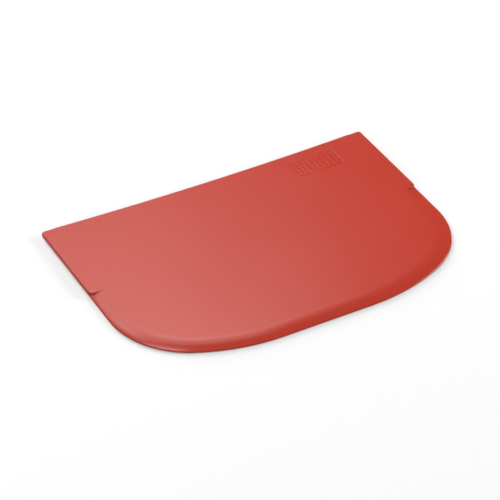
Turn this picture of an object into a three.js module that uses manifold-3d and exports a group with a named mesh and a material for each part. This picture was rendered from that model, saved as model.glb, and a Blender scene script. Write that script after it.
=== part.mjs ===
// Bowl and bench scraper: a flexible silicone card moulded round a perforated spring steel stiffener.
// Millimetres. +X runs along the back edge, +Y points to that edge, and +Z is up.
// The origin is the middle of the underside's bounding rectangle.
import * as THREE from "three";
import { mergeVertices } from "three/addons/utils/BufferGeometryUtils.js";
import Module from "manifold-3d";

const wasm = await Module();
wasm.setup();

// Outline of the card: straight sides, a very slightly hollow back edge, a small corner arc and a
// large shoulder arc on each side of the front, and a short straight stretch between the shoulders.
// All of them are tangent.
const WIDTH = 150;
const DEPTH = 103;
const CORNER_RADIUS = 36;
const SHOULDER_RADIUS = 82;
const FRONT_FLAT = 39;
const BACK_CORNER_RADIUS = 1.2;
const BACK_HOLLOW_RADIUS = 1450;
const ARC_STEPS = 12;
const BACK_CORNER_STEPS = 4;
const BACK_HOLLOW_STEPS = 12;

// Section of the card: a flat slab whose curved rim thins to a flexible lip.
const THICKNESS = 2;
const EDGE_ROUND = 0.35;
const EDGE_ROUND_STEPS = 2;
const LIP_THICKNESS = 0.7;
const BEVEL_WIDTH = 7;
const BEVEL_STEPS = 6;

// Where the bevel ends on each side, the full thickness stops in a small step with a round corner.
const NOTCH_FROM_BACK = 46;
const NOTCH_ROUND = 2.5;
const NOTCH_ROUND_STEPS = 4;

// The steel stiffener, and the room that the silicone leaves round it.
const CORE_THICKNESS = 0.5;
const CORE_INSET = 9.5;
const CORE_BACK_INSET = 4;
const CORE_BACK_CORNER_RADIUS = 4;
const CORE_GAP_SIDE = 0.3;
const CORE_GAP_FACE = 0.1;

// Round holes in the stiffener, through which posts of silicone join the two skins.
const FLOW_HOLE_RADIUS = 3;
const FLOW_HOLE_STEPS = 12;
const FLOW_COLUMN_PITCH = 21;
const FLOW_ROW_PITCH = 22;
const FIRST_FLOW_ROW_FROM_BACK = 16;
const FLOW_HOLES_PER_ROW = [6, 6, 6, 4];

// Holes that the mould's support pins leave in the lower skin. They open onto the stiffener.
const PIN_HOLE_RADIUS = 1.2;
const PIN_HOLE_STEPS = 10;
const PIN_COLUMNS = [-42, 0, 42];
const PIN_ROWS_FROM_BACK = [27, 71];

// Shallow grip patch with rows of low pips, near the right end of the back edge.
const PATCH_X = 47;
const PATCH_FROM_BACK = 11.5;
const PATCH_WIDTH = 21;
const PATCH_DEPTH = 11;
const PATCH_CORNER_RADIUS = 1;
const PATCH_RECESS = 0.1;
const PIP_COLUMNS = 9;
const PIP_ROWS = 4;
const PIP_PITCH = 2.3;
const PIP_BASE_RADIUS = 0.7;
const PIP_TOP_RADIUS = 0.4;
const PIP_STEPS = 8;

// Row of tiny dimples beside the left end of the back edge.
const DIMPLE_COUNT = 7;
const DIMPLE_PITCH = 2;
const FIRST_DIMPLE_X = -70.5;
const DIMPLE_FROM_BACK = 2.4;
const DIMPLE_RADIUS = 0.4;
const DIMPLE_RECESS = 0.1;
const DIMPLE_STEPS = 8;

// How far a cutting solid runs past the surface that it opens, and a joined solid into its base.
const OVERRUN = 1;
const EMBED = 0.1;

const SILICONE_COLOUR = 0xcf5a50;
const STEEL_COLOUR = 0xb9bcc0;

const HALF_WIDTH = WIDTH / 2;
const BACK_Y = DEPTH / 2;
const FRONT_Y = -DEPTH / 2;

// The corner arc is tangent to the side, the shoulder arc to the front, and each to the other.
const CORNER_X = HALF_WIDTH - CORNER_RADIUS;
const SHOULDER_X = FRONT_FLAT / 2;
const SHOULDER_Y = FRONT_Y + SHOULDER_RADIUS;
const RADIUS_STEP = SHOULDER_RADIUS - CORNER_RADIUS;
const CORNER_SWEEP = Math.acos((CORNER_X - SHOULDER_X) / RADIUS_STEP);
const CORNER_Y = SHOULDER_Y - RADIUS_STEP * Math.sin(CORNER_SWEEP);

// The back edge is an arc round a point far behind the card. Its ends touch the back corners' arcs,
// whose hindmost points are on the back of the bounding rectangle.
const BACK_CORNER_X = HALF_WIDTH - BACK_CORNER_RADIUS;
const BACK_CORNER_Y = BACK_Y - BACK_CORNER_RADIUS;
const HOLLOW_REACH = BACK_HOLLOW_RADIUS + BACK_CORNER_RADIUS;
const HOLLOW_Y = BACK_CORNER_Y + Math.sqrt(HOLLOW_REACH ** 2 - BACK_CORNER_X ** 2);

// The bevel's section is an arc, tangent to the top face where the bevel begins.
const BEVEL_DROP = THICKNESS - LIP_THICKNESS;
const BEVEL_RADIUS = (BEVEL_WIDTH ** 2 + BEVEL_DROP ** 2) / (2 * BEVEL_DROP);

const CORE_BOTTOM = (THICKNESS - CORE_THICKNESS) / 2;

// ---- solids -------------------------------------------------------------------------------------

function solidOf(geometry) {
  geometry.deleteAttribute("normal");
  geometry.deleteAttribute("uv");
  const merged = mergeVertices(geometry);
  const mesh = new wasm.Mesh({
    numProp: 3,
    vertProperties: merged.attributes.position.array,
    triVerts: new Uint32Array(merged.index.array),
  });
  return new wasm.Manifold(mesh);
}

function meshOf(name, solid, material) {
  const { vertProperties, triVerts } = solid.getMesh();
  const geometry = new THREE.BufferGeometry();
  geometry.setAttribute("position", new THREE.BufferAttribute(vertProperties, 3));
  geometry.setIndex(new THREE.BufferAttribute(triVerts, 1));
  const faceted = geometry.toNonIndexed();
  faceted.computeVertexNormals();
  const mesh = new THREE.Mesh(faceted, material);
  mesh.name = name;
  return mesh;
}

// A slab of a plane shape from one height to another, with square edges.
function slab(shape, bottom, top) {
  const geometry = new THREE.ExtrudeGeometry(shape, { depth: top - bottom, bevelEnabled: false });
  geometry.translate(0, 0, bottom);
  return solidOf(geometry);
}

// A round stub standing on the point (x, y), from one height to another.
function stub(x, y, bottom, top, bottomRadius, topRadius, steps) {
  const geometry = new THREE.CylinderGeometry(topRadius, bottomRadius, top - bottom, steps);
  geometry.rotateX(Math.PI / 2);
  geometry.translate(x, y, (bottom + top) / 2);
  return solidOf(geometry);
}

// ---- plane curves -------------------------------------------------------------------------------

function arcPoints(x, y, radius, from, to, steps) {
  const points = [];
  for (let i = 0; i <= steps; i += 1) {
    const angle = THREE.MathUtils.lerp(from, to, i / steps);
    points.push(new THREE.Vector2(x + radius * Math.cos(angle), y + radius * Math.sin(angle)));
  }
  return points;
}

function circlePoints(x, y, radius, steps) {
  return arcPoints(x, y, radius, 0, 2 * Math.PI, steps).slice(0, steps);
}

// Points of the curved front rim, moved inwards by an inset, from the left side to the right side.
function frontRim(inset) {
  const corner = CORNER_RADIUS - inset;
  const shoulder = SHOULDER_RADIUS - inset;
  const leftJoint = Math.PI + CORNER_SWEEP;
  const rightJoint = 2 * Math.PI - CORNER_SWEEP;
  const front = 1.5 * Math.PI;
  return [
    ...arcPoints(-CORNER_X, CORNER_Y, corner, Math.PI, leftJoint, ARC_STEPS),
    ...arcPoints(-SHOULDER_X, SHOULDER_Y, shoulder, leftJoint, front, ARC_STEPS).slice(1),
    ...arcPoints(SHOULDER_X, SHOULDER_Y, shoulder, front, rightJoint, ARC_STEPS),
    ...arcPoints(CORNER_X, CORNER_Y, corner, rightJoint, 2 * Math.PI, ARC_STEPS).slice(1),
  ];
}

// The card's outline moved inwards: by one inset at the sides and front, by another at the back.
function cardOutline(inset, backInset, backRadius) {
  const quarter = Math.PI / 2;
  const hollow = BACK_HOLLOW_RADIUS + backInset;
  const x = HALF_WIDTH - inset - backRadius;
  const lean = Math.asin(x / (hollow + backRadius));
  const y = HOLLOW_Y - (hollow + backRadius) * Math.cos(lean);
  const edge = arcPoints(0, HOLLOW_Y, hollow, lean - quarter, -lean - quarter, BACK_HOLLOW_STEPS);
  return new THREE.Shape([
    ...frontRim(inset),
    ...arcPoints(x, y, backRadius, 0, quarter + lean, BACK_CORNER_STEPS),
    ...edge.slice(1, -1),
    ...arcPoints(-x, y, backRadius, quarter - lean, 2 * quarter, BACK_CORNER_STEPS),
  ]);
}

function roundedRectangle(x, y, width, depth, radius, steps) {
  const dx = width / 2 - radius;
  const dy = depth / 2 - radius;
  const quarter = Math.PI / 2;
  return new THREE.Shape([
    ...arcPoints(x + dx, y + dy, radius, 0, quarter, steps),
    ...arcPoints(x - dx, y + dy, radius, quarter, 2 * quarter, steps),
    ...arcPoints(x - dx, y - dy, radius, 2 * quarter, 3 * quarter, steps),
    ...arcPoints(x + dx, y - dy, radius, 3 * quarter, 4 * quarter, steps),
  ]);
}

// Centres of the stiffener's flow holes, in rows that run along X.
function flowHoleCentres() {
  return FLOW_HOLES_PER_ROW.flatMap((count, row) => {
    const y = BACK_Y - FIRST_FLOW_ROW_FROM_BACK - row * FLOW_ROW_PITCH;
    const firstX = (-(count - 1) / 2) * FLOW_COLUMN_PITCH;
    return Array.from({ length: count }, (_, i) => [firstX + i * FLOW_COLUMN_PITCH, y]);
  });
}

// The stiffener's plane shape, grown outwards by a gap on its rim and in its holes.
function corePlan(gap) {
  const plan = cardOutline(CORE_INSET - gap, CORE_BACK_INSET - gap, CORE_BACK_CORNER_RADIUS + gap);
  plan.holes = flowHoleCentres().map(
    ([x, y]) => new THREE.Path(circlePoints(x, y, FLOW_HOLE_RADIUS - gap, FLOW_HOLE_STEPS)),
  );
  return plan;
}

// ---- silicone body ------------------------------------------------------------------------------

function roundEdgedCard() {
  const geometry = new THREE.ExtrudeGeometry(cardOutline(0, 0, BACK_CORNER_RADIUS), {
    depth: THICKNESS - 2 * EDGE_ROUND,
    bevelThickness: EDGE_ROUND,
    bevelSize: EDGE_ROUND,
    bevelOffset: -EDGE_ROUND,
    bevelSegments: EDGE_ROUND_STEPS,
  });
  geometry.translate(0, 0, EDGE_ROUND);
  return solidOf(geometry);
}

// Section of what the bevel removes, as points of inward distance from the rim and height.
function bevelSection() {
  const section = [new THREE.Vector2(-OVERRUN, LIP_THICKNESS)];
  for (let i = 0; i <= BEVEL_STEPS; i += 1) {
    const inward = (BEVEL_WIDTH * i) / BEVEL_STEPS;
    const drop = BEVEL_RADIUS - Math.sqrt(BEVEL_RADIUS ** 2 - (BEVEL_WIDTH - inward) ** 2);
    section.push(new THREE.Vector2(inward, THICKNESS - drop));
  }
  section.push(new THREE.Vector2(BEVEL_WIDTH, THICKNESS + OVERRUN));
  section.push(new THREE.Vector2(-OVERRUN, THICKNESS + OVERRUN));
  return section;
}

// The bevel section swept along both sides and round the front, as one closed solid.
function bevelSweep() {
  const section = bevelSection();
  const backOfNotch = BACK_Y - NOTCH_FROM_BACK + NOTCH_ROUND + OVERRUN;
  const rails = section.map(({ x: inward }) => {
    const side = HALF_WIDTH - inward;
    return [
      new THREE.Vector2(-side, backOfNotch),
      ...frontRim(inward),
      new THREE.Vector2(side, backOfNotch),
    ];
  });
  const stations = rails[0].length;
  const positions = [];
  for (let station = 0; station < stations; station += 1) {
    section.forEach(({ y: height }, k) => {
      positions.push(rails[k][station].x, rails[k][station].y, height);
    });
  }
  const count = section.length;
  const triangles = [];
  for (let station = 0; station < stations - 1; station += 1) {
    for (let k = 0; k < count; k += 1) {
      const a = station * count + k;
      const b = station * count + ((k + 1) % count);
      triangles.push(a, b, b + count, a, b + count, a + count);
    }
  }
  const lastStation = (stations - 1) * count;
  for (const [a, b, c] of THREE.ShapeUtils.triangulateShape(section, [])) {
    triangles.push(a, c, b);
    triangles.push(lastStation + a, lastStation + b, lastStation + c);
  }
  const geometry = new THREE.BufferGeometry();
  geometry.setAttribute("position", new THREE.Float32BufferAttribute(positions, 3));
  geometry.setIndex(triangles);
  return solidOf(geometry);
}

// What keeps its full thickness behind the notch on one side, with the step's round corner.
function notchKeeper(side) {
  const step = BACK_Y - NOTCH_FROM_BACK;
  const inner = HALF_WIDTH - BEVEL_WIDTH - OVERRUN;
  const outer = HALF_WIDTH + 2 * OVERRUN;
  const back = step + NOTCH_ROUND + 2 * OVERRUN;
  const roundX = HALF_WIDTH - NOTCH_ROUND;
  const roundY = step + NOTCH_ROUND;
  const points = [
    new THREE.Vector2(inner, step),
    ...arcPoints(roundX, roundY, NOTCH_ROUND, -Math.PI / 2, 0, NOTCH_ROUND_STEPS),
    new THREE.Vector2(outer, roundY),
    new THREE.Vector2(outer, back),
    new THREE.Vector2(inner, back),
  ];
  const plan = new THREE.Shape(points.map(({ x, y }) => new THREE.Vector2(side * x, y)));
  return slab(plan, 0, THICKNESS + 2 * OVERRUN);
}

function coreCavity() {
  const bottom = CORE_BOTTOM - CORE_GAP_FACE;
  return slab(corePlan(CORE_GAP_SIDE), bottom, bottom + CORE_THICKNESS + 2 * CORE_GAP_FACE);
}

function pinHoles() {
  return PIN_ROWS_FROM_BACK.flatMap((fromBack) =>
    PIN_COLUMNS.map((x) =>
      stub(x, BACK_Y - fromBack, -OVERRUN, CORE_BOTTOM, PIN_HOLE_RADIUS, PIN_HOLE_RADIUS, PIN_HOLE_STEPS),
    ),
  );
}

function patchRecess() {
  const y = BACK_Y - PATCH_FROM_BACK;
  const plan = roundedRectangle(
    PATCH_X,
    y,
    PATCH_WIDTH,
    PATCH_DEPTH,
    PATCH_CORNER_RADIUS,
    BACK_CORNER_STEPS,
  );
  return slab(plan, THICKNESS - PATCH_RECESS, THICKNESS + OVERRUN);
}

function patchPips() {
  const pips = [];
  for (let row = 0; row < PIP_ROWS; row += 1) {
    for (let column = 0; column < PIP_COLUMNS; column += 1) {
      const x = PATCH_X + (column - (PIP_COLUMNS - 1) / 2) * PIP_PITCH;
      const y = BACK_Y - PATCH_FROM_BACK + (row - (PIP_ROWS - 1) / 2) * PIP_PITCH;
      const bottom = THICKNESS - PATCH_RECESS - EMBED;
      pips.push(stub(x, y, bottom, THICKNESS, PIP_BASE_RADIUS, PIP_TOP_RADIUS, PIP_STEPS));
    }
  }
  return pips;
}

function edgeDimples() {
  const y = BACK_Y - DIMPLE_FROM_BACK;
  const bottom = THICKNESS - DIMPLE_RECESS;
  return Array.from({ length: DIMPLE_COUNT }, (_, i) => {
    const x = FIRST_DIMPLE_X + i * DIMPLE_PITCH;
    return stub(x, y, bottom, THICKNESS + OVERRUN, DIMPLE_RADIUS, DIMPLE_RADIUS, DIMPLE_STEPS);
  });
}

function siliconeBody() {
  const bevel = bevelSweep().subtract(notchKeeper(-1)).subtract(notchKeeper(1));
  const cuts = [bevel, coreCavity(), patchRecess(), ...pinHoles(), ...edgeDimples()];
  const cut = cuts.reduce((solid, tool) => solid.subtract(tool), roundEdgedCard());
  const body = patchPips().reduce((solid, pip) => solid.add(pip), cut);
  const silicone = new THREE.MeshStandardMaterial({
    color: SILICONE_COLOUR,
    roughness: 0.5,
    metalness: 0,
  });
  return meshOf("silicone_body", body, silicone);
}

// ---- steel stiffener ----------------------------------------------------------------------------

function stiffenerCore() {
  const sheet = slab(corePlan(0), CORE_BOTTOM, CORE_BOTTOM + CORE_THICKNESS);
  const steel = new THREE.MeshStandardMaterial({
    color: STEEL_COLOUR,
    roughness: 0.35,
    metalness: 1,
  });
  return meshOf("stiffener_core", sheet, steel);
}

const scraper = new THREE.Group();
scraper.add(siliconeBody(), stiffenerCore());

export default scraper;
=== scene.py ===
import math

import bmesh
import bpy
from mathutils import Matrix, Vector
from mathutils.geometry import delaunay_2d_cdt


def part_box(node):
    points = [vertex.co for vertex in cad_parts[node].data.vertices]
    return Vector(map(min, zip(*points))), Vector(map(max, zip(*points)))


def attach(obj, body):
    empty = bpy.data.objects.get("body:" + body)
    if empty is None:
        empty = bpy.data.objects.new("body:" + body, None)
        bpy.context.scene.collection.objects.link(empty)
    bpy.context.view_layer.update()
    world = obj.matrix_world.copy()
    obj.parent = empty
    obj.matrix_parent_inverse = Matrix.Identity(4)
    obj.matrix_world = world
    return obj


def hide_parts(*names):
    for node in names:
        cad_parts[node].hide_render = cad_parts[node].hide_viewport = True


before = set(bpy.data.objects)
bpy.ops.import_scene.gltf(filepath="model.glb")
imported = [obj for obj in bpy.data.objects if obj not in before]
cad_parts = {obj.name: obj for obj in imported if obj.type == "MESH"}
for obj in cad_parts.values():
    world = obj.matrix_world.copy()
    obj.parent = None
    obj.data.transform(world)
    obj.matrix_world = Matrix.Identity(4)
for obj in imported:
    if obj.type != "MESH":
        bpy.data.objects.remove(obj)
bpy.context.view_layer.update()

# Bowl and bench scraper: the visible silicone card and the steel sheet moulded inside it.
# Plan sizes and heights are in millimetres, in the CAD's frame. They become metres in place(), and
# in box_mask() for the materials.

MM = 0.001

# ---- sizes from the frame -----------------------------------------------------------------------

body_low, body_high = (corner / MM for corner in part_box("silicone_body"))
core_low, core_high = (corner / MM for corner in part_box("stiffener_core"))

HALF_WIDTH = (body_high.x - body_low.x) / 2
FRONT_Y = body_low.y
BACK_Y = body_high.y
THICKNESS = body_high.z

CORE_BOTTOM = core_low.z
CORE_TOP = core_high.z
CORE_INSET = HALF_WIDTH - core_high.x

# ---- driving dimensions -------------------------------------------------------------------------

# Outline: a corner arc and a shoulder arc on each side of a short straight front, and a very
# slightly hollow back edge between two small corner arcs.
CORNER_RADIUS = 36
SHOULDER_RADIUS = 82
FRONT_FLAT = 39
BACK_CORNER_RADIUS = 1.2
BACK_HOLLOW_RADIUS = 1450

# Section: rounded edges, and a bevel that thins the front to a lip.
EDGE_ROUND = 0.35
LIP_THICKNESS = 0.7
LIP_ROUND = 0.3
BEVEL_WIDTH = 7

# The step on each side where the bevel ends.
STEP_FROM_BACK = 46
STEP_ROUND = 2.5
STEP_SLOPE = 14

# Steel sheet.
CORE_BACK_INSET = 4
CORE_BACK_CORNER_RADIUS = 4
CORE_EDGE_ROUND = 0.06
CORE_GAP_SIDE = 0.3
CORE_GAP_FACE = 0.1
FLOW_HOLE_RADIUS = 3
FLOW_COLUMN_PITCH = 21
FLOW_ROW_PITCH = 22
FIRST_FLOW_ROW_FROM_BACK = 16
FLOW_HOLES_PER_ROW = (6, 6, 6, 4)

# Mould pin holes in the underside.
PIN_HOLE_RADIUS = 1.2
PIN_MOUTH_ROUND = 0.1
PIN_COLUMNS = (-42, 0, 42)
PIN_ROWS_FROM_BACK = (27, 71)

# Grip patch.
PATCH_X = 47
PATCH_FROM_BACK = 11.5
PATCH_WIDTH = 21
PATCH_DEPTH = 11
PATCH_CORNER_RADIUS = 1
PATCH_RECESS = 0.035
PATCH_WALL = 0.9
PIP_COLUMNS = 9
PIP_ROWS = 4
PIP_PITCH = 2.3
PIP_RADIUS = 0.7
PIP_HEIGHT = 0.035

# Dimples beside the left end of the back edge.
DIMPLE_COUNT = 7
DIMPLE_PITCH = 2
FIRST_DIMPLE_X = -70.5
DIMPLE_FROM_BACK = 2.4
DIMPLE_RADIUS = 0.4
DIMPLE_RECESS = 0.05

# Fineness of the meshes.
CORNER_STEPS = 48
SHOULDER_STEPS = 26
SMALL_CORNER_STEPS = 8
BACK_HOLLOW_STEPS = 60
ROUND_STEPS = 5
BEVEL_STEPS = 12
STEP_ARC_STEPS = 14
HOLE_STEPS = 40
PIN_HOLE_STEPS = 24
PIP_STEPS = 18
LONGEST_EDGE = 2.5
GRID_STEP = 5
GRID_MARGIN = GRID_STEP / 4
HOLE_MARGIN = 1
NOTCH_REACH = 0.7
NOTCH_POINT_STEP = 0.09

# Lines along the patch's wall, from its foot to its top, and rings on each pip and dimple.
PATCH_WALL_SHARES = (0.5, 0.3, 0.1, -0.1, -0.3, -0.5)
PIP_RING_SHARES = (1, 0.8, 0.6, 0.4, 0.2)
DIMPLE_RING_SHARES = (1, 0.7, 0.4)

# Places in the plan are rounded to PLAN_DIGITS, and line ends within SAME_POINT are one point.
PLAN_DIGITS = 4
SAME_POINT = 1e-3

# Settings of the triangulation: its tolerance, and the mode that fills the whole convex hull.
TRIANGULATION_EPSILON = 1e-5
WHOLE_HULL = 0

# Triangles that are flat to each other and nearly square become quads; sharper edges stay sharp.
QUAD_FLATNESS = math.radians(0.8)
QUAD_SQUARENESS = math.radians(35)
SHARP_ANGLE = math.radians(32)

# ---- worked-out dimensions ----------------------------------------------------------------------

CORNER_X = HALF_WIDTH - CORNER_RADIUS
SHOULDER_X = FRONT_FLAT / 2
SHOULDER_Y = FRONT_Y + SHOULDER_RADIUS
RADIUS_STEP = SHOULDER_RADIUS - CORNER_RADIUS
CORNER_SWEEP = math.acos((CORNER_X - SHOULDER_X) / RADIUS_STEP)
CORNER_Y = SHOULDER_Y - RADIUS_STEP * math.sin(CORNER_SWEEP)
BACK_CORNER_X = HALF_WIDTH - BACK_CORNER_RADIUS
HOLLOW_REACH = BACK_HOLLOW_RADIUS + BACK_CORNER_RADIUS
HOLLOW_Y = BACK_Y - BACK_CORNER_RADIUS + math.sqrt(HOLLOW_REACH**2 - BACK_CORNER_X**2)
STEP_Y = BACK_Y - STEP_FROM_BACK
BEVEL_DROP = THICKNESS - LIP_THICKNESS
BEVEL_RADIUS = (BEVEL_WIDTH**2 + BEVEL_DROP**2) / (2 * BEVEL_DROP)
PATCH_Y = BACK_Y - PATCH_FROM_BACK
DIMPLE_Y = BACK_Y - DIMPLE_FROM_BACK
CAVITY_BOTTOM = CORE_BOTTOM - CORE_GAP_FACE
CAVITY_TOP = CORE_TOP + CORE_GAP_FACE
QUARTER = math.pi / 2

# ---- plan curves: lists of (x, y) ---------------------------------------------------------------


def arc(x, y, radius, start, end, steps):
    angles = [start + (end - start) * i / steps for i in range(steps + 1)]
    return [(x + radius * math.cos(a), y + radius * math.sin(a)) for a in angles]


def circle(x, y, radius, steps):
    return arc(x, y, radius, 0, 4 * QUARTER, steps)[:steps]


def chain(stretches, closed):
    """One line through all stretches: shared ends are kept once, and long gaps are divided."""
    points = []
    count = len(stretches)
    for index, stretch in enumerate(stretches):
        points += stretch
        if index == count - 1 and not closed:
            break
        start, end = stretch[-1], stretches[(index + 1) % count][0]
        gap = math.dist(start, end)
        if gap < SAME_POINT:
            points.pop()
            continue
        steps = math.ceil(gap / LONGEST_EDGE)
        for i in range(1, steps):
            share = i / steps
            points.append(tuple(a + (b - a) * share for a, b in zip(start, end)))
    return points


def front_arcs(inset):
    """The four arcs of the front, moved inwards by the inset, from the left to the right side."""
    corner = CORNER_RADIUS - inset
    shoulder = SHOULDER_RADIUS - inset
    left_joint = 2 * QUARTER + CORNER_SWEEP
    right_joint = 4 * QUARTER - CORNER_SWEEP
    return [
        arc(-CORNER_X, CORNER_Y, corner, 2 * QUARTER, left_joint, CORNER_STEPS),
        arc(-SHOULDER_X, SHOULDER_Y, shoulder, left_joint, 3 * QUARTER, SHOULDER_STEPS),
        arc(SHOULDER_X, SHOULDER_Y, shoulder, 3 * QUARTER, right_joint, SHOULDER_STEPS),
        arc(CORNER_X, CORNER_Y, corner, right_joint, 4 * QUARTER, CORNER_STEPS),
    ]


def notch_points(x):
    """Close points on a side edge where the step meets it, in the direction of +Y."""
    steps = math.ceil(2 * NOTCH_REACH / NOTCH_POINT_STEP)
    middle = STEP_Y + STEP_ROUND - NOTCH_REACH / 2
    start = middle - NOTCH_REACH
    return [(x, start + 2 * NOTCH_REACH * i / steps) for i in range(steps + 1)]


def back_corner(inset, back_inset, radius):
    """Centre of the right back corner's arc, and the hollow edge's slope where the two meet."""
    x = HALF_WIDTH - inset - radius
    reach = BACK_HOLLOW_RADIUS + back_inset + radius
    lean = math.asin(x / reach)
    return x, HOLLOW_Y - reach * math.cos(lean), lean


def outline(inset, back_inset, back_radius, notched=False):
    """Closed loop, anticlockwise, moved inwards at the front and sides and at the back."""
    half = HALF_WIDTH - inset
    hollow = BACK_HOLLOW_RADIUS + back_inset
    x, y, lean = back_corner(inset, back_inset, back_radius)
    right_notch = [notch_points(half)] if notched else []
    left_notch = [notch_points(-half)[::-1]] if notched else []
    back = [
        arc(x, y, back_radius, 0, QUARTER + lean, SMALL_CORNER_STEPS),
        arc(0, HOLLOW_Y, hollow, lean - QUARTER, -lean - QUARTER, BACK_HOLLOW_STEPS),
        arc(-x, y, back_radius, QUARTER - lean, 2 * QUARTER, SMALL_CORNER_STEPS),
    ]
    return chain(front_arcs(inset) + right_notch + back + left_notch, closed=True)


def card_outline(inset):
    return outline(inset, inset, BACK_CORNER_RADIUS - inset, notched=True)


def core_outline(gap):
    return outline(CORE_INSET - gap, CORE_BACK_INSET - gap, CORE_BACK_CORNER_RADIUS + gap)


def front_rail(inset):
    """Open line along the bevel, from behind the left step to behind the right one."""
    half = HALF_WIDTH - inset
    back_end = STEP_Y + 2 * STEP_ROUND
    return chain([[(-half, back_end)], *front_arcs(inset), [(half, back_end)]], closed=False)


def patch_outline(inset):
    radius = PATCH_CORNER_RADIUS - inset
    dx = PATCH_WIDTH / 2 - PATCH_CORNER_RADIUS
    dy = PATCH_DEPTH / 2 - PATCH_CORNER_RADIUS
    corners = ((dx, dy), (-dx, dy), (-dx, -dy), (dx, -dy))
    arcs = [
        arc(PATCH_X + x, PATCH_Y + y, radius, i * QUARTER, (i + 1) * QUARTER, SMALL_CORNER_STEPS)
        for i, (x, y) in enumerate(corners)
    ]
    return chain(arcs, closed=True)


def round_insets(radius):
    """Insets of the lines that follow a quarter round, from its outer line to its face."""
    angles = [QUARTER * i / ROUND_STEPS for i in range(ROUND_STEPS + 1)]
    return [radius * (1 - math.sin(QUARTER - a)) for a in angles]


def step_line(side, inset):
    """Line along the top edge of a step, moved back by the inset."""
    x, y = HALF_WIDTH - STEP_ROUND, STEP_Y + STEP_ROUND
    turn = arc(x, y, STEP_ROUND - inset, 0, -QUARTER, STEP_ARC_STEPS)[1:]
    line = chain([turn, [(HALF_WIDTH - BEVEL_WIDTH, STEP_Y + inset)]], closed=False)
    return [(side * px, py) for px, py in line]


def step_foot(side):
    """Line where the wall of a step meets the bevel in front of it."""
    foot = []
    for x, y in step_line(1, 0):
        dx = x - (HALF_WIDTH - STEP_ROUND)
        dy = y - (STEP_Y + STEP_ROUND)
        away = math.hypot(dx, dy)
        ahead_x, ahead_y = (dx / away, dy / away) if dx > 0 else (0, -1)
        fall = max(THICKNESS - EDGE_ROUND - bevel_height(HALF_WIDTH - x), 0) / STEP_SLOPE
        foot_x = x + ahead_x * fall
        if fall > 0 and foot_x < HALF_WIDTH - SAME_POINT:
            foot.append((side * foot_x, y + ahead_y * fall))
    return foot


def flow_holes():
    """Centres of the sheet's flow holes, in rows along X."""
    return [
        ((i - (count - 1) / 2) * FLOW_COLUMN_PITCH,
         BACK_Y - FIRST_FLOW_ROW_FROM_BACK - row * FLOW_ROW_PITCH)
        for row, count in enumerate(FLOW_HOLES_PER_ROW)
        for i in range(count)
    ]


def pin_holes():
    return [(x, BACK_Y - from_back) for from_back in PIN_ROWS_FROM_BACK for x in PIN_COLUMNS]


def pips():
    return [
        (PATCH_X + (column - (PIP_COLUMNS - 1) / 2) * PIP_PITCH,
         PATCH_Y + (row - (PIP_ROWS - 1) / 2) * PIP_PITCH)
        for row in range(PIP_ROWS)
        for column in range(PIP_COLUMNS)
    ]


def dimples():
    return [(FIRST_DIMPLE_X + i * DIMPLE_PITCH, DIMPLE_Y) for i in range(DIMPLE_COUNT)]


# ---- distances inwards from the plan's edges ----------------------------------------------------


def from_corner(a, b, radius):
    """Distance inwards from two straight edges with a round corner, given the two distances."""
    if a < radius and b < radius:
        return radius - math.hypot(radius - a, radius - b)
    return min(a, b)


def from_front(x, y):
    """Distance inwards from the sides and the curved front."""
    x = abs(x)
    if y >= CORNER_Y:
        return HALF_WIDTH - x
    if math.atan2(CORNER_Y - y, x - CORNER_X) <= CORNER_SWEEP:
        return CORNER_RADIUS - math.hypot(x - CORNER_X, y - CORNER_Y)
    if x >= SHOULDER_X:
        return SHOULDER_RADIUS - math.hypot(x - SHOULDER_X, y - SHOULDER_Y)
    return y - FRONT_Y


def from_back_rim(x, y, inset, back_inset, radius):
    """Distance inwards from the sides, the hollow back edge and the round corners between them."""
    x = abs(x)
    corner_x, corner_y, lean = back_corner(inset, back_inset, radius)
    if 0 < math.atan2(y - corner_y, x - corner_x) < QUARTER + lean:
        return radius - math.hypot(x - corner_x, y - corner_y)
    side = HALF_WIDTH - inset - x
    return min(side, math.hypot(x, HOLLOW_Y - y) - BACK_HOLLOW_RADIUS - back_inset)


def from_back(x, y):
    return from_back_rim(x, y, 0, 0, BACK_CORNER_RADIUS)


def from_thin(x, y):
    """Distance into the part that keeps its full thickness at the edge; below 0 in front of it."""
    step = from_corner(HALF_WIDTH - abs(x), y - STEP_Y, STEP_ROUND)
    return min(step, from_back(x, y))


def from_patch(x, y):
    a = PATCH_WIDTH / 2 - abs(x - PATCH_X)
    b = PATCH_DEPTH / 2 - abs(y - PATCH_Y)
    return from_corner(a, b, PATCH_CORNER_RADIUS)


def nearest(x, y, places):
    return min(math.hypot(x - px, y - py) for px, py in places)


# ---- heights ------------------------------------------------------------------------------------


def edge_drop(distance, radius):
    """How far a rounded edge lies below its face, at a distance inwards from its outer line."""
    reach = radius - min(max(distance, 0), radius)
    return radius - math.sqrt(radius**2 - reach**2)


def bevel_height(inward):
    reach = max(BEVEL_WIDTH - inward, 0)
    return THICKNESS - BEVEL_RADIUS + math.sqrt(BEVEL_RADIUS**2 - reach**2)


def thick_height(inward):
    if inward < 0:
        return THICKNESS - EDGE_ROUND + inward * STEP_SLOPE
    return THICKNESS - edge_drop(inward, EDGE_ROUND)


def bump(distance, radius, height):
    """A low dome round a point."""
    return height * (1 - (distance / radius) ** 2) if distance < radius else 0


def patch_relief(x, y):
    """Height of the grip patch and its pips above the plain face."""
    inside = from_patch(x, y) / PATCH_WALL + 0.5
    if inside <= 0:
        return 0
    share = min(inside, 1)
    recess = PATCH_RECESS * share**2 * (3 - 2 * share)
    return bump(nearest(x, y, PIP_PLACES), PIP_RADIUS, PIP_HEIGHT) - recess


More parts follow.
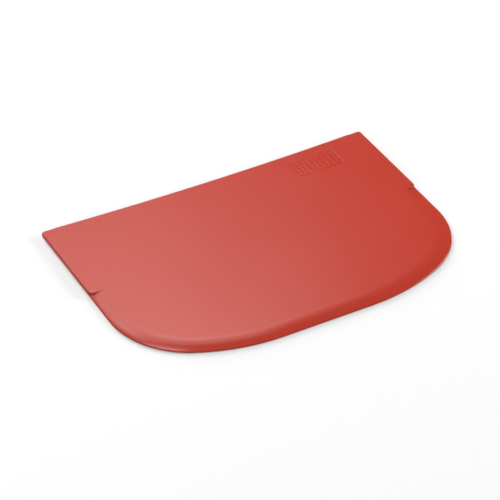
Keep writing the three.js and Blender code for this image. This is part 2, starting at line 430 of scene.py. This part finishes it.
def top_height(x, y):
    """Height of the upper side: the bevel or the full thickness, with the marks at the back."""
    inward = from_front(x, y)
    lip = bevel_height(inward) - edge_drop(inward, LIP_ROUND)
    height = max(lip, thick_height(from_thin(x, y)))
    if y > PATCH_Y - PATCH_DEPTH:
        height += patch_relief(x, y)
        height -= bump(nearest(x, y, DIMPLE_PLACES), DIMPLE_RADIUS, DIMPLE_RECESS)
    return height


def under_height(x, y):
    edge = edge_drop(min(from_front(x, y), from_back(x, y)), EDGE_ROUND)
    mouth = edge_drop(nearest(x, y, PIN_PLACES) - PIN_HOLE_RADIUS, PIN_MOUTH_ROUND)
    return edge + mouth


def core_edge_drop(x, y):
    """Rounding of the sheet's stamped edges, on its rim and in its holes."""
    rim = from_back_rim(x, y, CORE_INSET, CORE_BACK_INSET, CORE_BACK_CORNER_RADIUS)
    hole = nearest(x, y, FLOW_PLACES) - FLOW_HOLE_RADIUS
    return edge_drop(min(rim, from_front(x, y) - CORE_INSET, hole), CORE_EDGE_ROUND)


PIP_PLACES = pips()
DIMPLE_PLACES = dimples()
PIN_PLACES = pin_holes()
FLOW_PLACES = flow_holes()

# ---- mesh building ------------------------------------------------------------------------------


def place(x, y, z):
    """A point in metres, from its place in millimetres."""
    return Vector((x, y, z)) * MM


def snapped(points):
    return [(round(x, PLAN_DIGITS), round(y, PLAN_DIGITS)) for x, y in points]


def grid_points(keep):
    """Points of a square grid where keep(x, y) is true."""
    reach = int(HALF_WIDTH // GRID_STEP)
    columns = range(-reach, reach + 1)
    rows = range(int(FRONT_Y // GRID_STEP), int(BACK_Y // GRID_STEP) + 1)
    places = [(column * GRID_STEP, row * GRID_STEP) for column in columns for row in rows]
    return [p for p in places if keep(*p)]


def core_grid_points():
    """Points of the grid inside the steel sheet's rim and clear of its flow holes."""

    def keep(x, y):
        rim = min(from_front(x, y) - CORE_INSET, from_back(x, y) - CORE_BACK_INSET)
        hole = nearest(x, y, FLOW_PLACES) - FLOW_HOLE_RADIUS
        return rim > GRID_MARGIN and hole > HOLE_MARGIN

    return grid_points(keep)


def add_face_sheet(bm, loops, lines, points, holes, height, upwards):
    """Triangles over all the lines' hull, outside the holes. Returns vertices by plan place."""
    places = []
    edges = []
    for index, line in enumerate([*loops, *lines]):
        first = len(places)
        places += snapped(line)
        edges += [(i, i + 1) for i in range(first, len(places) - 1)]
        if index < len(loops):
            edges.append((len(places) - 1, first))
    places += snapped(points)
    flat = [Vector(p) for p in places]
    plan = delaunay_2d_cdt(flat, edges, [], WHOLE_HULL, TRIANGULATION_EPSILON)
    corners, faces = plan[0], plan[2]
    made = [bm.verts.new(place(x, y, height(x, y))) for x, y in corners]
    for face in faces:
        middle = sum((corners[i] for i in face), Vector((0, 0))) / len(face)
        if any(math.dist(middle, centre) < radius for centre, radius in holes):
            continue
        order = face if upwards else face[::-1]
        bm.faces.new([made[i] for i in order])
    return dict(zip(snapped(corners), made))


def add_wall(bm, loop, lower, upper, outwards):
    """A strip between two sheets, along a closed anticlockwise loop that both of them hold."""
    ring = snapped(loop)
    for here, there in zip(ring, ring[1:] + ring[:1]):
        strip = [lower[here], lower[there], upper[there], upper[here]]
        bm.faces.new(strip if outwards else strip[::-1])


def round_holes(centres, radius, steps):
    """Hole centres with the radius that their polygons clear."""
    return [(centre, radius * math.cos(math.pi / steps)) for centre in centres]


def behind_edge(inset, back_inset, radius):
    """Centre of the hollow back edge's arc with the radius that its polygon clears."""
    lean = back_corner(inset, back_inset, radius)[2]
    hollow = BACK_HOLLOW_RADIUS + back_inset
    return (0, HOLLOW_Y), hollow * math.cos(lean / BACK_HOLLOW_STEPS)


def circles(centres, radius, steps):
    return [circle(x, y, radius, steps) for x, y in centres]


def finished_piece(name, bm):
    """An object of the mesh, with quads where two triangles lie flat, and even shading."""
    loose = [v for v in bm.verts if not v.link_faces]
    bmesh.ops.delete(bm, geom=loose, context="VERTS")
    bmesh.ops.join_triangles(
        bm,
        faces=bm.faces,
        angle_face_threshold=QUAD_FLATNESS,
        angle_shape_threshold=QUAD_SQUARENESS,
    )
    mesh = bpy.data.meshes.new(name)
    bm.to_mesh(mesh)
    bm.free()
    mesh.shade_smooth()
    mesh.set_sharp_from_angle(angle=SHARP_ANGLE)
    piece = bpy.data.objects.new(name, mesh)
    bpy.context.scene.collection.objects.link(piece)
    even = piece.modifiers.new("even_shading", "WEIGHTED_NORMAL")
    even.keep_sharp = True
    return piece


# ---- silicone card ------------------------------------------------------------------------------


def top_sheet(bm):
    rim = [card_outline(inset) for inset in round_insets(EDGE_ROUND)]
    rails = [front_rail(BEVEL_WIDTH * i / BEVEL_STEPS) for i in range(1, BEVEL_STEPS + 1)]
    steps = [step_line(side, inset) for side in (-1, 1) for inset in round_insets(EDGE_ROUND)]
    feet = [step_foot(side) for side in (-1, 1)]
    patch = [patch_outline(PATCH_WALL * share) for share in PATCH_WALL_SHARES]
    domes = [
        ring
        for share in PIP_RING_SHARES
        for ring in circles(PIP_PLACES, PIP_RADIUS * share, PIP_STEPS)
    ]
    hollows = [
        ring
        for share in DIMPLE_RING_SHARES
        for ring in circles(DIMPLE_PLACES, DIMPLE_RADIUS * share, PIP_STEPS)
    ]
    plain = grid_points(
        lambda x, y: min(from_front(x, y) - BEVEL_WIDTH, from_back(x, y)) > GRID_MARGIN
        and from_patch(x, y) < -GRID_MARGIN
    )
    loops = [*rim, *patch, *domes, *hollows]
    points = [*plain, *PIP_PLACES, *DIMPLE_PLACES]
    lines = [*rails, *steps, *feet]
    holes = [behind_edge(0, 0, BACK_CORNER_RADIUS)]
    return add_face_sheet(bm, loops, lines, points, holes, top_height, True)


def under_sheet(bm):
    rim = [card_outline(inset) for inset in round_insets(EDGE_ROUND)]
    mouths = [
        ring
        for inset in round_insets(PIN_MOUTH_ROUND)
        for ring in circles(PIN_PLACES, PIN_HOLE_RADIUS + inset, PIN_HOLE_STEPS)
    ]
    plain = grid_points(lambda x, y: min(from_front(x, y), from_back(x, y)) > GRID_MARGIN)
    clear = [p for p in plain if nearest(*p, PIN_PLACES) > 2 * PIN_HOLE_RADIUS]
    holes = round_holes(PIN_PLACES, PIN_HOLE_RADIUS, PIN_HOLE_STEPS)
    holes.append(behind_edge(0, 0, BACK_CORNER_RADIUS))
    return add_face_sheet(bm, [*rim, *mouths], [], clear, holes, under_height, False)


def cavity_sheet(bm, height, holes_to_underside, upwards):
    """One face of the hollow that holds the steel sheet."""
    gap = CORE_GAP_SIDE
    rim = core_outline(gap)
    posts = circles(FLOW_PLACES, FLOW_HOLE_RADIUS - gap, HOLE_STEPS)
    holes = round_holes(FLOW_PLACES, FLOW_HOLE_RADIUS - gap, HOLE_STEPS)
    holes.append(
        behind_edge(CORE_INSET - gap, CORE_BACK_INSET - gap, CORE_BACK_CORNER_RADIUS + gap)
    )
    pins = []
    if holes_to_underside:
        pins = circles(PIN_PLACES, PIN_HOLE_RADIUS, PIN_HOLE_STEPS)
        holes += round_holes(PIN_PLACES, PIN_HOLE_RADIUS, PIN_HOLE_STEPS)
    clear = [
        p for p in core_grid_points() if nearest(*p, PIN_PLACES) > PIN_HOLE_RADIUS + HOLE_MARGIN
    ]
    loops = [rim, *posts, *pins]
    return add_face_sheet(bm, loops, [], clear, holes, lambda x, y: height, upwards)


def silicone_card():
    bm = bmesh.new()
    top = top_sheet(bm)
    under = under_sheet(bm)
    floor = cavity_sheet(bm, CAVITY_BOTTOM, True, True)
    roof = cavity_sheet(bm, CAVITY_TOP, False, False)
    add_wall(bm, card_outline(0), under, top, True)
    add_wall(bm, core_outline(CORE_GAP_SIDE), floor, roof, False)
    for post in circles(FLOW_PLACES, FLOW_HOLE_RADIUS - CORE_GAP_SIDE, HOLE_STEPS):
        add_wall(bm, post, floor, roof, True)
    for pin in circles(PIN_PLACES, PIN_HOLE_RADIUS, PIN_HOLE_STEPS):
        add_wall(bm, pin, under, floor, False)
    return finished_piece("silicone_card", bm)


# ---- steel sheet --------------------------------------------------------------------------------


def core_sheet(bm, upwards):
    """The upper or the lower face of the steel sheet."""
    insets = round_insets(CORE_EDGE_ROUND)
    rims = [core_outline(-inset) for inset in insets]
    rings = [
        ring
        for inset in insets
        for ring in circles(FLOW_PLACES, FLOW_HOLE_RADIUS + inset, HOLE_STEPS)
    ]
    holes = round_holes(FLOW_PLACES, FLOW_HOLE_RADIUS, HOLE_STEPS)
    holes.append(behind_edge(CORE_INSET, CORE_BACK_INSET, CORE_BACK_CORNER_RADIUS))

    def height(x, y):
        drop = core_edge_drop(x, y)
        return CORE_TOP - drop if upwards else CORE_BOTTOM + drop

    loops = [*rims, *rings]
    return add_face_sheet(bm, loops, [], core_grid_points(), holes, height, upwards)


def steel_sheet():
    bm = bmesh.new()
    top = core_sheet(bm, True)
    under = core_sheet(bm, False)
    add_wall(bm, core_outline(0), under, top, True)
    for hole in circles(FLOW_PLACES, FLOW_HOLE_RADIUS, HOLE_STEPS):
        add_wall(bm, hole, under, top, False)
    return finished_piece("steel_stiffener", bm)


# ---- materials ----------------------------------------------------------------------------------

# Noise scales are in waves per metre, and bump distances in metres.
FACE_RED_DEEP = (0.50, 0.047, 0.028, 1)
FACE_RED_PALE = (0.52, 0.051, 0.030, 1)
# Dark red painted as shade on steep walls and rims; the dimples' hollows take it too.
WALL_SHADE_RED = (0.27, 0.018, 0.010, 1)
WORN_RED = (0.60, 0.12, 0.09, 1)
SILICONE_IOR = 1.43
FACE_ROUGHNESS = 0.2
ROUGHNESS_SPREAD = 0.01
RIM_DULLING = 0.25
PATCH_POLISH = 0.14
DIMPLE_SHADE = 0.8
SILICONE_WEAR = 0.3
CLOUD_SCALE = 28.0
WAVE_SCALE = 60.0
WAVE_DISTANCE = 0.0001
SATIN_SCALE = 3500.0
SATIN_DISTANCE = 0.00002
SILICONE_BUMP = 0.25

# Painted shade: the red turns from the dark wall-shade red on steep walls, rims and the steps'
# walls to the face's red as the normal's Z grows from one to the other.
RIM_TILT = 0.3
FACE_TILT = 0.92

STEEL_DARK = (0.42, 0.43, 0.44, 1)
STEEL_PALE = (0.55, 0.56, 0.57, 1)
STEEL_BARE = (0.70, 0.70, 0.70, 1)
STEEL_WEAR = 0.6
STEEL_POLISHED = 0.25
STEEL_DULL = 0.42
ROLLING_SCALES = (30, 4000, 4000)
ROLLING_DISTANCE = 0.00001
ROLLING_BUMP = 0.3

# Worn edges: from which pointiness, in blotches of which size, and how much of an edge they take.
WEAR_START = 0.62
WEAR_FULL = 0.75
WEAR_SCALE = 400.0
WEAR_GAPS_BELOW = 0.4
WEAR_WHOLE_ABOVE = 0.65

TABLE_WHITE = (0.9, 0.9, 0.9, 1)
TABLE_ROUGHNESS = 0.7
TABLE_SPECULAR = 0.2


def node_material(name):
    """A new material, and a function that adds a node with its settings and inputs."""
    material = bpy.data.materials.new(name)
    material.use_nodes = True
    tree = material.node_tree
    tree.nodes.clear()

    def add(kind, inputs=(), **settings):
        node = tree.nodes.new(kind)
        for key, value in settings.items():
            setattr(node, key, value)
        for socket, value in dict(inputs).items():
            if isinstance(value, bpy.types.NodeSocket):
                tree.links.new(value, node.inputs[socket])
            else:
                node.inputs[socket].default_value = value
        return node

    return material, add


def ramp(add, value, low, high, start=0.0, end=1.0):
    """The value's range from low to high spread over start to end, with soft ends."""
    node = add(
        "ShaderNodeMapRange",
        {"Value": value, "From Min": low, "From Max": high, "To Min": start, "To Max": end},
        interpolation_type="SMOOTHSTEP",
    )
    return node.outputs["Result"]


def mixed(add, factor, first, second):
    node = add("ShaderNodeMix", {"Factor": factor, "A": first, "B": second}, data_type="RGBA")
    return node.outputs["Result"]


def calculated(add, operation, *values):
    return add("ShaderNodeMath", dict(enumerate(values)), operation=operation).outputs["Value"]


def noise(add, where, scale, detail):
    node = add("ShaderNodeTexNoise", {"Vector": where, "Scale": scale, "Detail": detail})
    return node.outputs["Fac"]


def bumped(add, height, distance, strength, normal=None):
    inputs = {"Height": height, "Distance": distance, "Strength": strength}
    if normal:
        inputs["Normal"] = normal
    return add("ShaderNodeBump", inputs).outputs["Normal"]


def edge_wear(add, surface, where, amount):
    """Up to the amount on convex edges, in patches."""
    ridge = ramp(add, surface["Pointiness"], WEAR_START, WEAR_FULL)
    blotches = noise(add, where, WEAR_SCALE, 4.0)
    patches = ramp(add, blotches, WEAR_GAPS_BELOW, WEAR_WHOLE_ABOVE)
    return calculated(add, "MULTIPLY", calculated(add, "MULTIPLY", ridge, patches), amount)


def box_mask(add, where, centre, size, soft):
    """1 inside a box and 0 outside it, changing over a band of soft to each side of its walls."""
    middle = [value * MM for value in centre]
    shifted = add("ShaderNodeVectorMath", {0: where, 1: middle}, operation="SUBTRACT")
    away = add("ShaderNodeVectorMath", {0: shifted.outputs["Vector"]}, operation="ABSOLUTE")
    sides = add("ShaderNodeSeparateXYZ", {"Vector": away.outputs["Vector"]}).outputs
    along_x, along_y, along_z = (
        ramp(add, sides[axis], (length / 2 - soft) * MM, (length / 2 + soft) * MM, 1.0, 0.0)
        for axis, length in zip("XYZ", size)
    )
    return calculated(add, "MULTIPLY", calculated(add, "MULTIPLY", along_x, along_y), along_z)


def patch_mask(add, where):
    """1 on the floor of the grip patch and 0 outside it."""
    centre = (PATCH_X, PATCH_Y, THICKNESS)
    size = (PATCH_WIDTH, PATCH_DEPTH, THICKNESS)
    return box_mask(add, where, centre, size, PATCH_WALL / 2)


def dimple_mask(add, where):
    """1 in the hollows of the dimples and 0 on the face round them."""
    soft = DIMPLE_RECESS / 10
    x = FIRST_DIMPLE_X + (DIMPLE_COUNT - 1) / 2 * DIMPLE_PITCH
    centre = (x, DIMPLE_Y, THICKNESS - DIMPLE_RECESS - 2 * soft)
    size = (DIMPLE_COUNT * DIMPLE_PITCH, DIMPLE_PITCH, 2 * DIMPLE_RECESS)
    return box_mask(add, where, centre, size, soft)


def silicone_material():
    """Satin red silicone: painted shade and duller gloss on steep walls and rims; smoother patch;
    darker dimples; paler worn edges.
    """
    material, add = node_material("red_silicone")
    where = add("ShaderNodeTexCoord").outputs["Object"]
    surface = add("ShaderNodeNewGeometry").outputs
    facing = add("ShaderNodeSeparateXYZ", {"Vector": surface["Normal"]}).outputs["Z"]
    rim = ramp(add, calculated(add, "ABSOLUTE", facing), RIM_TILT, FACE_TILT, 1.0, 0.0)
    cloud = noise(add, where, CLOUD_SCALE, 3.0)
    wear = edge_wear(add, surface, where, SILICONE_WEAR)

    face_colour = mixed(add, cloud, FACE_RED_DEEP, FACE_RED_PALE)
    # Painted shade: steep walls, rims and the steps' walls get the dark red.
    wall_shaded_colour = mixed(add, rim, face_colour, WALL_SHADE_RED)
    shade = calculated(add, "MULTIPLY", dimple_mask(add, where), DIMPLE_SHADE)
    # The dimples' hollows are darkened with the same dark red, more where they are deeper.
    marked_colour = mixed(add, shade, wall_shaded_colour, WALL_SHADE_RED)
    colour = mixed(add, wear, marked_colour, WORN_RED)

    smooth = FACE_ROUGHNESS - ROUGHNESS_SPREAD
    rough = FACE_ROUGHNESS + ROUGHNESS_SPREAD
    face_gloss = ramp(add, cloud, 0.3, 0.7, smooth, rough)
    with_rim = calculated(add, "MULTIPLY_ADD", rim, RIM_DULLING, face_gloss)
    gloss = calculated(add, "MULTIPLY_ADD", patch_mask(add, where), -PATCH_POLISH, with_rim)

    wave = noise(add, where, WAVE_SCALE, 1.0)
    satin = noise(add, where, SATIN_SCALE, 2.0)
    waved = bumped(add, wave, WAVE_DISTANCE, SILICONE_BUMP)
    normal = bumped(add, satin, SATIN_DISTANCE, SILICONE_BUMP, waved)
    shader = add(
        "ShaderNodeBsdfPrincipled",
        {"Base Color": colour, "Roughness": gloss, "Normal": normal, "IOR": SILICONE_IOR},
    )
    add("ShaderNodeOutputMaterial", {"Surface": shader.outputs["BSDF"]})
    return material


def steel_material():
    """Rolled spring steel: fine lines along X, with brighter stamped edges."""
    material, add = node_material("rolled_spring_steel")
    where = add("ShaderNodeTexCoord").outputs["Object"]
    surface = add("ShaderNodeNewGeometry").outputs
    along = add("ShaderNodeMapping", {"Vector": where, "Scale": ROLLING_SCALES})
    grain = noise(add, along.outputs["Vector"], 1.0, 4.0)
    rolled_colour = mixed(add, grain, STEEL_DARK, STEEL_PALE)
    wear = edge_wear(add, surface, where, STEEL_WEAR)
    colour = mixed(add, wear, rolled_colour, STEEL_BARE)
    shader = add(
        "ShaderNodeBsdfPrincipled",
        {
            "Base Color": colour,
            "Metallic": 1.0,
            "Roughness": ramp(add, grain, 0.0, 1.0, STEEL_POLISHED, STEEL_DULL),
            "Normal": bumped(add, grain, ROLLING_DISTANCE, ROLLING_BUMP),
        },
    )
    add("ShaderNodeOutputMaterial", {"Surface": shader.outputs["BSDF"]})
    return material


def floor_material():
    material, add = node_material("pale_table")
    shader = add(
        "ShaderNodeBsdfPrincipled",
        {
            "Base Color": TABLE_WHITE,
            "Roughness": TABLE_ROUGHNESS,
            "Specular IOR Level": TABLE_SPECULAR,
        },
    )
    add("ShaderNodeOutputMaterial", {"Surface": shader.outputs["BSDF"]})
    return material


# ---- stage --------------------------------------------------------------------------------------

# Camera: angles as in direction(), distance and aim in metres, focal length in pixels.
CAMERA_AZIMUTH = math.radians(-28.73)
CAMERA_ELEVATION = math.radians(37.56)
CAMERA_DISTANCE = 0.9221
CAMERA_AIM = Vector((-0.00534, 0.0027, 0))
FOCAL_PIXELS = 2295.3
FRAME_PIXELS = 500
SENSOR_WIDTH = 36

FLOOR_HALF_SIZE = 1.5

# All lamps are soft boxes that stand at one distance. Sizes are width and height, in metres.
LAMP_DISTANCE = 2
LARGE_BOX = (1, 0.67)


def direction(azimuth, elevation):
    """Unit vector away from the object: azimuth 0 is in front, at -Y, and a quarter turn is +X."""
    flat = math.cos(elevation)
    return Vector((math.sin(azimuth) * flat, -math.cos(azimuth) * flat, math.sin(elevation)))


def add_camera():
    data = bpy.data.cameras.new("camera")
    data.sensor_width = SENSOR_WIDTH
    data.lens = FOCAL_PIXELS / FRAME_PIXELS * data.sensor_width
    camera = bpy.data.objects.new("camera", data)
    away = direction(CAMERA_AZIMUTH, CAMERA_ELEVATION)
    camera.location = CAMERA_AIM + away * CAMERA_DISTANCE
    camera.rotation_euler = away.to_track_quat("Z", "Y").to_euler()
    bpy.context.scene.collection.objects.link(camera)
    bpy.context.scene.camera = camera


def add_floor():
    size = FLOOR_HALF_SIZE
    mesh = bpy.data.meshes.new("table_top")
    corners = [(-size, -size, 0), (size, -size, 0), (size, size, 0), (-size, size, 0)]
    mesh.from_pydata(corners, [], [(0, 1, 2, 3)])
    floor = bpy.data.objects.new("table_top", mesh)
    floor.data.materials.append(floor_material())
    bpy.context.scene.collection.objects.link(floor)


def add_lamp(name, azimuth, elevation, box, watts):
    """A soft box that faces the object, with azimuth and elevation in degrees."""
    data = bpy.data.lights.new(name, "AREA")
    data.shape = "RECTANGLE"
    data.size, data.size_y = box
    data.energy = watts
    lamp = bpy.data.objects.new(name, data)
    away = direction(math.radians(azimuth), math.radians(elevation))
    lamp.location = away * LAMP_DISTANCE
    lamp.rotation_euler = away.to_track_quat("Z", "Y").to_euler()
    bpy.context.scene.collection.objects.link(lamp)


def add_lights():
    """Boxes behind the card that mirror in its face as a sheen, low ones round it, one above."""
    add_lamp("sheen_box", 168, 44, (0.75, 0.63), 1.9)
    add_lamp("sheen_core", 162, 41, (0.79, 0.42), 0.87)
    add_lamp("sheen_spot", 153, 44, (0.3, 0.21), 0.49)
    add_lamp("rear_high", 165, 55, LARGE_BOX, 4.2)
    add_lamp("rear_left_high", 189, 50, (0.27, 0.63), 1.9)
    add_lamp("rear_low", 180, 15, LARGE_BOX, 47)
    add_lamp("right_low", 75, 15, LARGE_BOX, 34)
    add_lamp("front_left_low", 300, 15, LARGE_BOX, 12)
    add_lamp("front_low", 330, 15, LARGE_BOX, 10)
    add_lamp("overhead", 240, 75, LARGE_BOX, 13.5)


# ---- assembly -----------------------------------------------------------------------------------

card = silicone_card()
card.data.materials.append(silicone_material())
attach(card, "root")
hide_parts("silicone_body")

stiffener = steel_sheet()
stiffener.data.materials.append(steel_material())
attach(stiffener, "root")
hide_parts("stiffener_core")

add_floor()
add_lights()
add_camera()
bpy.context.scene.view_settings.view_transform = "Standard"
